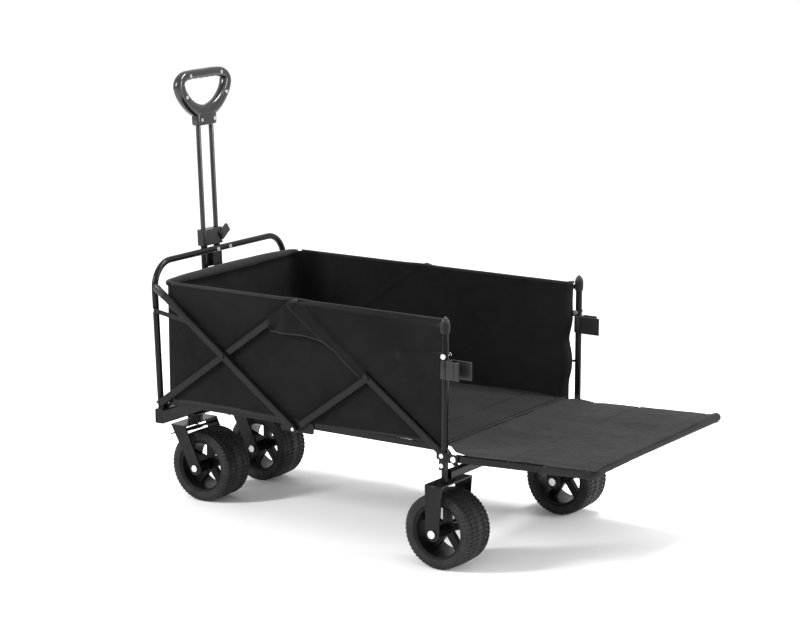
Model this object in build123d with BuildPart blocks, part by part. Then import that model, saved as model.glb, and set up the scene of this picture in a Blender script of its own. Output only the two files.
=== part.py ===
from build123d import *
import math
import os

os.makedirs("parts", exist_ok=True)

# ---------------------------------------------------------------- dimensions
# Millimetres. +X runs from the pull handle to the tailgate, +Z is up, Y = 0 is
# the middle plane and Z = 0 is the ground. The origin is under the middle of
# the opened wagon; MID_X is the line where the bed folds.

MID_X = -166.0

# folding scissor: four bars on each side of the bed
SPAN = 422.0
PIVOT_Z = 268.0
MID_TOP_Z = 572.0
THETA = math.atan2(MID_TOP_Z - PIVOT_Z, SPAN)
BAR_FULL = math.hypot(SPAN, MID_TOP_Z - PIVOT_Z)
BAR_REACH = 506.0
BAR_WIDTH = 18.0
BAR_THICK = 8.0
BAR_ROUNDING = 3.5
LINK_ROUNDING = 0.8
INNER_LAYER = 275.5
OUTER_LAYER = 284.5
FOLD_DEG = 47.0

# side links between the end frames and the scissor
LINK_REACH = 369.8
LINK_WIDTH = 11.0
LINK_THICK = 2.5
FRONT_LINK_Z = 506.0
REAR_LINK_Z = 502.0
FRONT_LINK_LAYER = 277.0
REAR_LINK_LAYER = 286.0

# fasteners
RIVET_R = 4.0
HEAD_R = 7.0
HEAD_T = 2.5
RUN_FIT = 0.08
FACE_GAP = 0.3

# front U-shaped frame and its cross bar
TUBE_R = 8.0
TUBE_WALL = 1.5
LEG_Y = 266.0
CROSS_BAR_TOP = 255.0
U_LEAN = math.radians(2.5)
U_TOP_Z = 619.0
U_BEND = 65.0
CROSS_BAR_X = -2.0
CROSS_BAR_W = 26.0
CROSS_BAR_H = 36.0
CROSS_BAR_HALF = 272.0
PLUG_T = 4.0
LUG_Y = 252.0
LUG_T = 4.0

# folding floor
HINGE_INSET = 22.0
HINGE_Z = 276.0
RAIL_H = 14.0
FRONT_RAIL_Y = 258.0
REAR_RAIL_Y = 265.5
RAIL_T = 6.5
RAIL_LENGTH = 395.0
PANEL_LENGTH = 334.0
PANEL_Z = 284.0
PANEL_T = 6.0
PANEL_Y = 250.0
CENTER_HALF = 30.0
BRACKET_Y = 272.8

# rear frame
POST_X = 436.0
POST_Y = 302.0
POST_TOP = 580.0
FORK_TOP = 205.0
REAR_BAR_Z = 224.0
REAR_BAR_X = 440.0

# tailgate
GATE_X = 466.0
GATE_Z = 267.0
GATE_END = 835.0
GATE_RISE = 2.5
GATE_BAR = 15.0
GATE_BAR_Y = 301.5
GATE_PANEL_Y = 286.0

# wheels
WHEEL_R = 90.0
HUB_HALF = 60.0
FORK_FOOT_R = 18.0
TYRE_W = 93.0
RIM_R = 64.0
AXLE_R = 6.0
FORK_IN = 61.5
FORK_T = 4.0
REAR_AXLE_X = 425.0
REAR_TRACK = 272.0
SWIVEL_X = -433.0
FRONT_AXLE_X = -383.0
FRONT_TRACK = 119.0
BRAKE_X = -422.0
BRAKE_Z = 180.0
BRAKE_TIP_X = -503.0
BRAKE_HALF = 12.0

# pull handle, measured along its own leaning axis from its pivot
HANDLE_X = -453.0
HANDLE_Z = 240.0
HANDLE_LEAN = math.radians(2.4)
HANDLE_Y = 26.0
OUTER_TUBE_R = 8.5
INNER_TUBE_R = 6.25
COLLAR_LOW = 386.0
COLLAR_TOP = 426.0
INNER_LOW = 275.0
GRIP_LOW = 690.0
SLIDE_TRAVEL = 250.0
LEVER_Y = 30.0
LEVER_S = 408.0

# fabric
WALL_Y = 267.0
WALL_T = 4.0
WALL_TOP = 577.0
WALL_LOW = 286.0

SIDES = {"near": -1, "far": 1}
# ---------------------------------------------------------------- placing


def lengthwise(y):
    """Upright plane along the wagon: local x is +X from the fold line, local y is +Z."""
    return Plane(origin=(MID_X, y, 0), x_dir=(1, 0, 0), z_dir=(0, -1, 0))


def level(z):
    """Horizontal plane at height z, with local x from the fold line."""
    return Plane(origin=(MID_X, 0, z), x_dir=(1, 0, 0), z_dir=(0, 0, 1))


def leaning(x, z, lean, forward=0.0):
    """Crosswise plane that leans towards the handle: local x is +Y, local y is up."""
    normal = (math.cos(lean), 0, math.sin(lean))
    origin = (MID_X + x + forward * normal[0], 0, z + forward * normal[2])
    return Plane(origin=origin, x_dir=(0, 1, 0), z_dir=normal)


def lean_base(x, z, lean, up):
    """Plane square to the leaning axis, at the distance up from its foot."""
    rise = (-math.sin(lean), 0, math.cos(lean))
    origin = (MID_X + x + up * rise[0], 0, z + up * rise[2])
    return Plane(origin=origin, x_dir=(0, 1, 0), z_dir=rise)


def along_bar(start, direction, distance):
    """Point of a scissor bar, by its distance from the bar's lower pivot."""
    x = start + direction * distance * math.cos(THETA)
    return (x, PIVOT_Z + distance * math.sin(THETA))


def save(part, name):
    part.label = name
    export_step(part, f"parts/{name}.step")


HALF_BAR = BAR_FULL / 2
MID_BOTTOM = (0.0, PIVOT_Z)
MID_TOP = (0.0, MID_TOP_Z)
FRONT_PIVOT = (-SPAN, PIVOT_Z)
REAR_PIVOT = (SPAN, PIVOT_Z)
FRONT_CROSSING = along_bar(0, -1, HALF_BAR)
REAR_CROSSING = along_bar(0, 1, HALF_BAR)
FRONT_LINK_END = along_bar(0, -1, LINK_REACH)
REAR_LINK_END = along_bar(0, 1, LINK_REACH)
LEG_LINK = (-SPAN - (FRONT_LINK_Z - PIVOT_Z) * math.tan(U_LEAN), FRONT_LINK_Z)
POST_LINK = (POST_X, REAR_LINK_Z)

# ---------------------------------------------------------------- repeated shapes


def flat_bar(start, end, width, layer, thick, side, holes, rounding):
    """Round-ended strip from start to end, its inner face at |Y| = layer."""
    length = math.dist(start, end)
    angle = math.degrees(math.atan2(end[1] - start[1], end[0] - start[0]))
    middle = ((start[0] + end[0]) / 2, (start[1] + end[1]) / 2)
    with BuildPart() as bar:
        with BuildSketch(lengthwise(side * layer)):
            with Locations(Location(middle, angle)):
                SlotCenterToCenter(length, width)
            for point, radius in holes:
                with Locations(point):
                    Circle(radius, mode=Mode.SUBTRACT)
        extrude(amount=-side * thick)
        outer = bar.faces().filter_by(Axis.Y).sort_by(Axis.Y)[-1 if side > 0 else 0]
        fillet(outer.outer_wire().edges(), rounding)
    return bar.part


def pin(point, side, foot, tip, radius, head_from=None, head_to=None, head_r=HEAD_R):
    """Rivet along Y from |Y| = foot to tip, with a domed head if one is given."""
    with BuildPart() as rivet:
        with BuildSketch(lengthwise(side * foot)):
            with Locations(point):
                Circle(radius)
        extrude(amount=-side * (tip - foot))
        if head_from is not None:
            with BuildSketch(lengthwise(side * head_from)):
                with Locations(point):
                    Circle(head_r)
            extrude(amount=-side * (head_to - head_from))
    return rivet.part


def group(solids):
    """Several separate solids kept together as one piece."""
    return Compound(children=list(solids))


# ---------------------------------------------------------------- front frame

u_height = (U_TOP_Z - CROSS_BAR_TOP) / math.cos(U_LEAN)
foot_rise = TUBE_R * math.tan(U_LEAN)
u_plane = leaning(-SPAN, CROSS_BAR_TOP, U_LEAN)
with BuildPart() as front_u_frame:
    with BuildLine(u_plane):
        FilletPolyline(
            (-LEG_Y, foot_rise),
            (-LEG_Y, u_height),
            (LEG_Y, u_height),
            (LEG_Y, foot_rise),
            radius=U_BEND,
        )
    with BuildSketch(lean_base(-SPAN, CROSS_BAR_TOP, U_LEAN, foot_rise)):
        with Locations((-LEG_Y, 0)):
            Circle(TUBE_R)
            Circle(TUBE_R - TUBE_WALL, mode=Mode.SUBTRACT)
    sweep()
save(front_u_frame.part, "front_u_frame")

# rectangular cross bar with plugged ends, and an upright ear at each end for the floor hinge
cross_bar_mid = CROSS_BAR_TOP - CROSS_BAR_H / 2
with BuildPart() as front_cross_bar:
    with BuildSketch(lengthwise(CROSS_BAR_HALF)):
        with Locations((-SPAN + CROSS_BAR_X, cross_bar_mid)):
            RectangleRounded(CROSS_BAR_W, CROSS_BAR_H, 3)
            RectangleRounded(CROSS_BAR_W - 4, CROSS_BAR_H - 4, 1.5, mode=Mode.SUBTRACT)
    extrude(amount=2 * CROSS_BAR_HALF)
    for side in SIDES.values():
        with BuildSketch(lengthwise(side * (CROSS_BAR_HALF - PLUG_T))):
            with Locations((-SPAN + CROSS_BAR_X, cross_bar_mid)):
                Rectangle(CROSS_BAR_W - 3, CROSS_BAR_H - 3)
        extrude(amount=-side * (PLUG_T - 1))
        with BuildSketch(lengthwise(side * LUG_Y)):
            with BuildLine():
                Polyline(
                    (-SPAN - 8, CROSS_BAR_TOP),
                    (-SPAN + 11, CROSS_BAR_TOP),
                    (-SPAN + HINGE_INSET + 7, HINGE_Z - 7),
                    (-SPAN + HINGE_INSET + 7, HINGE_Z + 6),
                    (-SPAN + HINGE_INSET - 5, HINGE_Z + 6),
                    close=True,
                )
            make_face()
        extrude(amount=-side * LUG_T)
save(front_cross_bar.part, "front_cross_bar")

# fasteners of the front frame: scissor pivots, link pivots, floor hinge pins, top bar
front_pins = []
for side in SIDES.values():
    b_face = INNER_LAYER + BAR_THICK + FACE_GAP
    front_pins.append(
        pin(FRONT_PIVOT, side, LEG_Y + TUBE_R, b_face, RIVET_R, b_face, b_face + HEAD_T, 8)
    )
    link_face = FRONT_LINK_LAYER + LINK_THICK + FACE_GAP
    front_pins.append(
        pin(LEG_LINK, side, LEG_Y + TUBE_R, link_face, 3, link_face, link_face + 2.2, 6)
    )
    hinge = (-SPAN + HINGE_INSET, HINGE_Z)
    rail_face = FRONT_RAIL_Y + RAIL_T
    front_pins.append(pin(hinge, side, LUG_Y + LUG_T, rail_face, RIVET_R))
for y in (-17, 32):
    with BuildPart() as top_rivet:
        with BuildSketch(leaning(-SPAN, CROSS_BAR_TOP, U_LEAN, TUBE_R)):
            with Locations((y, u_height)):
                Circle(5)
        extrude(amount=2)
    front_pins.append(top_rivet.part)
save(group(front_pins), "front_rivets")

# spring clip on the top bar that the upright handle snaps into
CLIP_FACE = 1.4
with BuildPart() as handle_clip:
    with BuildSketch(leaning(-SPAN, CROSS_BAR_TOP, U_LEAN, -TUBE_R)):
        with Locations((0, u_height - 2)):
            RectangleRounded(84, 12, 3)
        with Locations((0, u_height - 30)):
            RectangleRounded(34, 62, 3)
    extrude(amount=-CLIP_FACE)
save(handle_clip.part, "handle_clip")

# clevis that carries the handle on the cross bar's front face
bracket_back = -SPAN + CROSS_BAR_X - CROSS_BAR_W / 2
with BuildPart() as handle_bracket:
    with BuildSketch(lengthwise(-44)):
        with BuildLine():
            Polyline(
                (bracket_back, HANDLE_Z - 15),
                (bracket_back, HANDLE_Z + 13),
                (HANDLE_X, HANDLE_Z + 10),
                (HANDLE_X - 10, HANDLE_Z),
                (HANDLE_X, HANDLE_Z - 10),
                close=True,
            )
        make_face()
        with Locations((HANDLE_X, HANDLE_Z)):
            Circle(5, mode=Mode.SUBTRACT)
    extrude(amount=4)
    mirror(about=Plane.XZ)
    with BuildSketch(lengthwise(48)):
        with Locations((HANDLE_X, HANDLE_Z)):
            Circle(5)
    extrude(amount=96)
    with BuildSketch(lengthwise(48)):
        with Locations((bracket_back - 1.5, HANDLE_Z)):
            Rectangle(3, 30)
    extrude(amount=96)
save(handle_bracket.part, "handle_bracket")

# caster mounts: bearing housing, kingpin and nut under the cross bar
BEARING_LOW = 206.0
BRIDGE_TOP = 195.0
BRIDGE_T = 4.0
mounts = []
for side in SIDES.values():
    with BuildPart() as caster_mount:
        with BuildSketch(level(BEARING_LOW)):
            with Locations((SWIVEL_X, side * FRONT_TRACK)):
                Circle(21)
        extrude(amount=CROSS_BAR_TOP - CROSS_BAR_H - 4 - BEARING_LOW, taper=12)
        with BuildSketch(level(CROSS_BAR_TOP - CROSS_BAR_H - 4)):
            with Locations((SWIVEL_X + 3, side * FRONT_TRACK)):
                RectangleRounded(52, 64, 6)
        extrude(amount=4)
        with BuildSketch(level(BRIDGE_TOP - BRIDGE_T - 6.5)):
            with Locations((SWIVEL_X, side * FRONT_TRACK)):
                Circle(6)
        extrude(amount=BEARING_LOW - BRIDGE_TOP + BRIDGE_T + 6.5)
        with BuildSketch(level(BRIDGE_TOP - BRIDGE_T - 6)):
            with Locations((SWIVEL_X, side * FRONT_TRACK)):
                RegularPolygon(9.5, 6)
        extrude(amount=5.5)
    mounts.append(caster_mount.part)
save(group(mounts), "caster_mounts")

# ---------------------------------------------------------------- fabric body

with BuildPart() as front_wall:
    with BuildSketch(level(WALL_LOW)):
        with Locations((-SPAN, 0)):
            Rectangle(4, 2 * 255)
    extrude(amount=WALL_TOP - WALL_LOW)
save(front_wall.part, "front_wall")

wall_start = -SPAN + 14
wall_end = SPAN - 3
for name, side in SIDES.items():
    with BuildPart() as side_wall:
        with BuildSketch(lengthwise(side * WALL_Y)):
            with BuildLine():
                Polyline(
                    (wall_start, WALL_LOW),
                    (wall_end, WALL_LOW),
                    (wall_end, WALL_TOP),
                    (wall_start, WALL_TOP),
                    close=True,
                )
            make_face()
        extrude(amount=-side * WALL_T)
    save(side_wall.part, f"wall_{name}")

# ---------------------------------------------------------------- folding floor


def floor_frame(direction, rail_y):
    """Two hinged rails and the two tubes between them; direction points to the fold line."""
    hinge_x = -direction * (SPAN - HINGE_INSET)
    tip_x = hinge_x + direction * RAIL_LENGTH
    with BuildPart() as frame:
        for side in SIDES.values():
            with BuildSketch(lengthwise(side * rail_y)):
                with Locations(Location(((hinge_x + tip_x) / 2, HINGE_Z))):
                    SlotOverall(RAIL_LENGTH + RAIL_H, RAIL_H)
                with Locations((hinge_x, HINGE_Z)):
                    Circle(RIVET_R + RUN_FIT, mode=Mode.SUBTRACT)
            extrude(amount=-side * RAIL_T)
        with BuildSketch(lengthwise(rail_y)):
            for distance in (80, 290):
                with Locations((hinge_x + direction * distance, HINGE_Z + 2)):
                    Circle(4)
        extrude(amount=2 * rail_y)
    return frame.part


def floor_panel(direction):
    """Fabric-covered floor board, hinged with its frame."""
    hinge_x = -direction * (SPAN - HINGE_INSET)
    middle = hinge_x + direction * PANEL_LENGTH / 2
    with BuildPart() as panel:
        with BuildSketch(level(PANEL_Z)):
            with Locations((middle, 0)):
                RectangleRounded(PANEL_LENGTH, 2 * PANEL_Y, 4)
        extrude(amount=PANEL_T)
    return panel.part


save(floor_frame(1, FRONT_RAIL_Y), "floor_frame_front")
save(floor_frame(-1, REAR_RAIL_Y), "floor_frame_rear")
save(floor_panel(1), "floor_panel_front")
save(floor_panel(-1), "floor_panel_rear")

with BuildPart() as floor_center:
    with BuildSketch(level(PANEL_Z)):
        Rectangle(2 * CENTER_HALF, 2 * PANEL_Y)
    extrude(amount=PANEL_T)
save(floor_center.part, "floor_center")

# cross tube under the fold line, with a plate and the lower scissor pin at each end
with BuildPart() as center_brackets:
    with BuildSketch(lengthwise(BRACKET_Y)):
        with Locations((0, PIVOT_Z - 6)):
            RectangleRounded(14, 12, 2)
    extrude(amount=2 * BRACKET_Y)
    with BuildSketch(level(PANEL_Z)):
        with Locations((0, 200), (0, -200)):
            Rectangle(10, 30)
    extrude(amount=-(PANEL_Z - PIVOT_Z))
    for side in SIDES.values():
        with BuildSketch(lengthwise(side * BRACKET_Y)):
            with Locations((0, HINGE_Z - 6)):
                RectangleRounded(96, 26, 6)
        extrude(amount=-side * 2)
        outer_face = OUTER_LAYER + BAR_THICK + FACE_GAP
        with BuildSketch(lengthwise(side * BRACKET_Y)):
            with Locations(MID_BOTTOM):
                Circle(RIVET_R)
        extrude(amount=-side * (outer_face - BRACKET_Y))
        with BuildSketch(lengthwise(side * outer_face)):
            with Locations(MID_BOTTOM):
                Circle(HEAD_R + 1)
        extrude(amount=-side * HEAD_T)
save(center_brackets.part, "center_brackets")

# ---------------------------------------------------------------- scissor bars
# a: fold-line foot up to the front corner, b: front pivot up to the fold-line top,
# c: fold-line top down to the rear pivot, d: fold-line foot up to the rear corner.

free_hole = RIVET_R + RUN_FIT
loose_hole = RIVET_R + 0.4
for name, side in SIDES.items():
    outer_hole = loose_hole if side > 0 else free_hole
    bar_a = flat_bar(
        MID_BOTTOM, along_bar(0, -1, BAR_REACH), BAR_WIDTH, OUTER_LAYER, BAR_THICK, side,
        [(MID_BOTTOM, outer_hole), (FRONT_CROSSING, free_hole)], BAR_ROUNDING,
    )
    save(bar_a, f"bar_a_{name}")
    bar_b = flat_bar(
        FRONT_PIVOT, MID_TOP, BAR_WIDTH, INNER_LAYER, BAR_THICK, side,
        [(FRONT_PIVOT, free_hole), (FRONT_CROSSING, RIVET_R), (MID_TOP, RIVET_R)], BAR_ROUNDING,
    )
    save(bar_b, f"bar_b_{name}")
    bar_c = flat_bar(
        MID_TOP, REAR_PIVOT, BAR_WIDTH, OUTER_LAYER, BAR_THICK, side,
        [(REAR_PIVOT, outer_hole), (REAR_CROSSING, RIVET_R), (MID_TOP, free_hole)], BAR_ROUNDING,
    )
    save(bar_c, f"bar_c_{name}")
    bar_d = flat_bar(
        MID_BOTTOM, along_bar(0, 1, BAR_REACH), BAR_WIDTH, INNER_LAYER, BAR_THICK, side,
        [(MID_BOTTOM, loose_hole), (REAR_CROSSING, free_hole)], BAR_ROUNDING,
    )
    save(bar_d, f"bar_d_{name}")

    outer_face = OUTER_LAYER + BAR_THICK + FACE_GAP
    b_pins = [
        pin(point, side, INNER_LAYER, outer_face, RIVET_R, outer_face, outer_face + HEAD_T)
        for point in (FRONT_CROSSING, MID_TOP)
    ]
    save(group(b_pins), f"bar_b_rivets_{name}")
    c_head = OUTER_LAYER + BAR_THICK
    c_pin = pin(REAR_CROSSING, side, INNER_LAYER - 0.5, c_head, RIVET_R, c_head, c_head + HEAD_T)
    save(c_pin, f"bar_c_rivet_{name}")

    front_link = flat_bar(
        LEG_LINK, FRONT_LINK_END, LINK_WIDTH, FRONT_LINK_LAYER, LINK_THICK, side,
        [(LEG_LINK, 3 + RUN_FIT)], LINK_ROUNDING,
    )
    save(front_link, f"link_front_{name}")
    rear_link = flat_bar(
        POST_LINK, REAR_LINK_END, LINK_WIDTH, REAR_LINK_LAYER, LINK_THICK, side,
        [(POST_LINK, 3 + RUN_FIT)], LINK_ROUNDING,
    )
    save(rear_link, f"link_rear_{name}")

# ---------------------------------------------------------------- rear frame

LUG_FACE = OUTER_LAYER + BAR_THICK + 0.7
posts = []
for side in SIDES.values():
    with BuildPart() as rear_post:
        with BuildSketch(level(FORK_TOP)):
            with Locations((POST_X, side * POST_Y)):
                Circle(TUBE_R)
                Circle(TUBE_R - TUBE_WALL, mode=Mode.SUBTRACT)
        extrude(amount=POST_TOP - FORK_TOP)
        with BuildSketch(lengthwise(side * LUG_FACE)):
            with Locations(((REAR_PIVOT[0] + POST_X - TUBE_R + 1) / 2 - 3, PIVOT_Z)):
                RectangleRounded(26, 22, 4)
        extrude(amount=-side * 4)
    posts.append(rear_post.part)
save(group(posts), "rear_posts")

with BuildPart() as rear_cross_bar:
    with BuildSketch(lengthwise(POST_Y - TUBE_R)):
        with Locations((REAR_BAR_X, REAR_BAR_Z)):
            RectangleRounded(18, 20, 3)
            RectangleRounded(15, 17, 1.5, mode=Mode.SUBTRACT)
    extrude(amount=2 * (POST_Y - TUBE_R))
    for side in SIDES.values():
        with BuildSketch(lengthwise(side * LUG_Y)):
            with BuildLine():
                Polyline(
                    (REAR_BAR_X + 5, REAR_BAR_Z + 10),
                    (REAR_BAR_X - 9, REAR_BAR_Z + 10),
                    (SPAN - HINGE_INSET - 7, HINGE_Z - 7),
                    (SPAN - HINGE_INSET - 7, HINGE_Z + 6),
                    (SPAN - HINGE_INSET + 6, HINGE_Z + 6),
                    close=True,
                )
            make_face()
        extrude(amount=-side * LUG_T)
save(rear_cross_bar.part, "rear_cross_bar")


def fork(side_y, top_x, axle_x, bridge_z, top_width, extra_hole):
    """Bent-sheet wheel fork: a bridge and two legs that run down to the axle."""
    left, right = top_x - top_width / 2, top_x + top_width / 2
    with BuildPart() as legs:
        for face_y in (side_y + FORK_IN + FORK_T, side_y - FORK_IN):
            with BuildSketch(lengthwise(face_y)):
                with BuildLine():
                    Line((left, bridge_z), (axle_x - FORK_FOOT_R, WHEEL_R))
                    ThreePointArc(
                        (axle_x - FORK_FOOT_R, WHEEL_R),
                        (axle_x, WHEEL_R - FORK_FOOT_R),
                        (axle_x + FORK_FOOT_R, WHEEL_R),
                    )
                    Polyline((axle_x + FORK_FOOT_R, WHEEL_R), (right, bridge_z), (left, bridge_z))
                make_face()
                with Locations((axle_x, WHEEL_R)):
                    Circle(AXLE_R, mode=Mode.SUBTRACT)
            extrude(amount=FORK_T)
        with BuildSketch(level(bridge_z - BRIDGE_T)):
            with Locations((top_x, side_y)):
                Rectangle(top_width, 2 * (FORK_IN + FORK_T))
        extrude(amount=BRIDGE_T)
        if extra_hole:
            with BuildSketch(level(bridge_z - BRIDGE_T)):
                with Locations((SWIVEL_X, side_y)):
                    Circle(extra_hole)
            extrude(amount=BRIDGE_T, mode=Mode.SUBTRACT)
            with BuildSketch(level(bridge_z)):
                with Locations((SWIVEL_X, side_y)):
                    Circle(19)
                    Circle(extra_hole, mode=Mode.SUBTRACT)
            extrude(amount=BEARING_LOW - FACE_GAP - bridge_z)
        edges = legs.edges().filter_by(Axis.X).group_by(Axis.Z)[-1 if not extra_hole else -2]
        outer = edges.filter_by(lambda e: abs(abs(e.center().Y - side_y) - FORK_IN - FORK_T) < 0.1)
        fillet(outer, 3.5)
    return legs.part


rear_legs = [fork(s * REAR_TRACK, POST_X - 9, REAR_AXLE_X, FORK_TOP, 46, 0) for s in SIDES.values()]
save(group(rear_legs), "rear_forks")
for name, side in SIDES.items():
    caster = fork(side * FRONT_TRACK, SWIVEL_X - 4, FRONT_AXLE_X, BRIDGE_TOP, 44, 6 + RUN_FIT)
    save(caster, f"caster_fork_{name}")

# tailgate hinge brackets: L-shaped plates on the outside of the posts
GUSSET_Y = POST_Y + TUBE_R
gussets = []
for side in SIDES.values():
    with BuildPart() as gusset:
        with BuildSketch(lengthwise(side * GUSSET_Y)):
            with BuildLine():
                Polyline(
                    (POST_X - 10, FORK_TOP + 32),
                    (POST_X + 10, FORK_TOP + 32),
                    (POST_X + 10, GATE_Z - 10),
                    (GATE_X + 11, GATE_Z - 10),
                    (GATE_X + 11, GATE_Z + 10),
                    (POST_X - 10, GATE_Z + 14),
                    close=True,
                )
            make_face()
            with Locations((GATE_X, GATE_Z)):
                Circle(RIVET_R, mode=Mode.SUBTRACT)
        extrude(amount=-side * 3)
    gussets.append(gusset.part)
save(group(gussets), "rear_gussets")

# snap clips on the posts that hold the raised tailgate's side bars
CLIP_LOW, CLIP_TOP = 450.0, 493.0
clips = []
for side in SIDES.values():
    with BuildPart() as latch_clip:
        with BuildSketch(level(CLIP_LOW)):
            with Locations((POST_X, side * POST_Y)):
                Circle(TUBE_R + 3)
                Circle(TUBE_R, mode=Mode.SUBTRACT)
            with Locations((POST_X + 12, side * POST_Y)):
                Rectangle(4, 25)
            with Locations((POST_X + 27, side * (POST_Y + 11))):
                Rectangle(34, 3)
            with Locations((POST_X + 37, side * (POST_Y - 11.5))):
                Rectangle(54, 2.5)
            with Locations((POST_X + 42, side * (POST_Y + 12)), (POST_X + 28, side * (POST_Y + 12))):
                Rectangle(4, 3.5)
        extrude(amount=CLIP_TOP - CLIP_LOW)
    clips.append(latch_clip.part)
save(group(clips), "latch_clips")

caps = []
for side in SIDES.values():
    with BuildPart() as post_cap:
        with BuildSketch(level(POST_TOP)):
            with Locations((POST_X, side * POST_Y)):
                Circle(TUBE_R + 1.5)
        extrude(amount=6, taper=12)
    caps.append(post_cap.part)
save(group(caps), "post_caps")

# rivets, hinge pins and axle bolts of the rear frame
GATE_IN = GATE_BAR_Y - GATE_BAR / 2
rear_pins = []
for side in SIDES.values():
    c_inner = OUTER_LAYER - FACE_GAP
    rear_pins.append(pin(REAR_PIVOT, side, c_inner, LUG_FACE, RIVET_R))
    rear_pins[-1] += pin(REAR_PIVOT, side, c_inner - HEAD_T, c_inner, HEAD_R)
    link_inner = REAR_LINK_LAYER - FACE_GAP
    rear_pins.append(pin(POST_LINK, side, link_inner, POST_Y - TUBE_R, 3))
    rear_pins[-1] += pin(POST_LINK, side, link_inner - 1.8, link_inner, 5.5)
    rear_pins.append(pin(POST_LINK, side, POST_Y + TUBE_R, POST_Y + TUBE_R + 2.5, 6.5))
    hinge = (SPAN - HINGE_INSET, HINGE_Z)
    rear_pins.append(pin(hinge, side, LUG_Y + LUG_T, REAR_RAIL_Y + RAIL_T, RIVET_R))
    gate_pivot = (GATE_X, GATE_Z)
    rear_pins.append(
        pin(gate_pivot, side, GATE_IN - 2, GUSSET_Y + 3, RIVET_R, GUSSET_Y + 3, GUSSET_Y + 5.5)
    )
    for z in (PIVOT_Z + 3, PIVOT_Z - 20):
        rear_pins.append(pin((POST_X - 2, z), side, GUSSET_Y + 3, GUSSET_Y + 5.5, 5.5))
    axle = (REAR_AXLE_X, WHEEL_R)
    centre = REAR_TRACK
    out = FORK_IN + FORK_T
    bolt = pin(axle, side, centre - out - 5, centre + out + 5, AXLE_R)
    bolt += pin(axle, side, centre + out, centre + out + 5, 9.5)
    bolt += pin(axle, side, centre - out - 5, centre - out, 9.5)
    rear_pins.append(bolt)
save(group(rear_pins), "rear_fasteners")

# ---------------------------------------------------------------- tailgate

# drawn level, then raised about its hinge
gate_axis = Axis((MID_X + GATE_X, 0, GATE_Z), (0, -1, 0))
with BuildPart() as tailgate_frame:
    for side in SIDES.values():
        with BuildSketch(lengthwise(side * GATE_IN)):
            with BuildLine():
                Line((GATE_END - 14, GATE_Z - GATE_BAR / 2), (GATE_X, GATE_Z - GATE_BAR / 2))
                ThreePointArc(
                    (GATE_X, GATE_Z - GATE_BAR / 2),
                    (GATE_X - GATE_BAR / 2, GATE_Z),
                    (GATE_X, GATE_Z + GATE_BAR / 2),
                )
                Line((GATE_X, GATE_Z + GATE_BAR / 2), (GATE_END - 14, GATE_Z + GATE_BAR / 2))
                Line((GATE_END - 14, GATE_Z + GATE_BAR / 2), (GATE_END - 14, GATE_Z - GATE_BAR / 2))
            make_face()
            with Locations((GATE_X, GATE_Z)):
                Circle(free_hole, mode=Mode.SUBTRACT)
        extrude(amount=-side * GATE_BAR)
        hollow_y = side * (GATE_IN + 1.5)
        with BuildSketch(lengthwise(hollow_y)):
            with Locations(((GATE_X + 12 + GATE_END - 16) / 2, GATE_Z)):
                Rectangle(GATE_END - 28 - GATE_X, GATE_BAR - 3)
        extrude(amount=-side * (GATE_BAR - 3), mode=Mode.SUBTRACT)
    with BuildSketch(lengthwise(GATE_IN)):
        with Locations((GATE_END - 14 - GATE_BAR / 2, GATE_Z)):
            RectangleRounded(GATE_BAR, GATE_BAR, 3)
            RectangleRounded(GATE_BAR - 3, GATE_BAR - 3, 1.5, mode=Mode.SUBTRACT)
    extrude(amount=2 * GATE_IN)
save(tailgate_frame.part.rotate(gate_axis, GATE_RISE), "tailgate_frame")

panel_low = GATE_Z + GATE_BAR / 2 + 0.7
with BuildPart() as tailgate_panel:
    with BuildSketch(level(panel_low)):
        with Locations(((GATE_X + 12 + GATE_END) / 2, 0)):
            Rectangle(GATE_END - GATE_X - 12, 2 * GATE_PANEL_Y)
    extrude(amount=PANEL_T)
    with BuildSketch(level(GATE_Z - GATE_BAR / 2)):
        with Locations((GATE_END - 6.5, 0)):
            Rectangle(13, 2 * GATE_PANEL_Y)
    extrude(amount=panel_low - GATE_Z + GATE_BAR / 2)
save(tailgate_panel.part.rotate(gate_axis, GATE_RISE), "tailgate_panel")

# ---------------------------------------------------------------- wheels


def wheel_plane(axle_x, y):
    """Lengthwise plane through a wheel's middle, centred on its axle."""
    return Plane(origin=(MID_X + axle_x, y, WHEEL_R), x_dir=(1, 0, 0), z_dir=(0, -1, 0))


def section_plane(axle_x, y):
    """Radial plane of a wheel: local x is the radius, local y runs along the axle."""
    return Plane(origin=(MID_X + axle_x, y, WHEEL_R), x_dir=(1, 0, 0), z_dir=(0, 0, 1))


def tyre(axle_x, y):
    """Wide block tyre with a slightly crowned tread and square shoulders."""
    half = TYRE_W / 2
    with BuildPart() as body:
        with BuildSketch(section_plane(axle_x, y)):
            with BuildLine():
                Polyline((RIM_R, half - 6), (RIM_R + 3, half - 1), (WHEEL_R - 9, half))
                Line((WHEEL_R - 9, half), (WHEEL_R - 1.5, half - 5))
                ThreePointArc((WHEEL_R - 1.5, half - 5), (WHEEL_R, 0), (WHEEL_R - 1.5, 5 - half))
                Line((WHEEL_R - 1.5, 5 - half), (WHEEL_R - 9, -half))
                Polyline((WHEEL_R - 9, -half), (RIM_R + 3, 1 - half), (RIM_R, 6 - half), (RIM_R, half - 6))
            make_face()
        revolve(axis=Axis((MID_X + axle_x, y, WHEEL_R), (0, 1, 0)))
    return body.part


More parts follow.
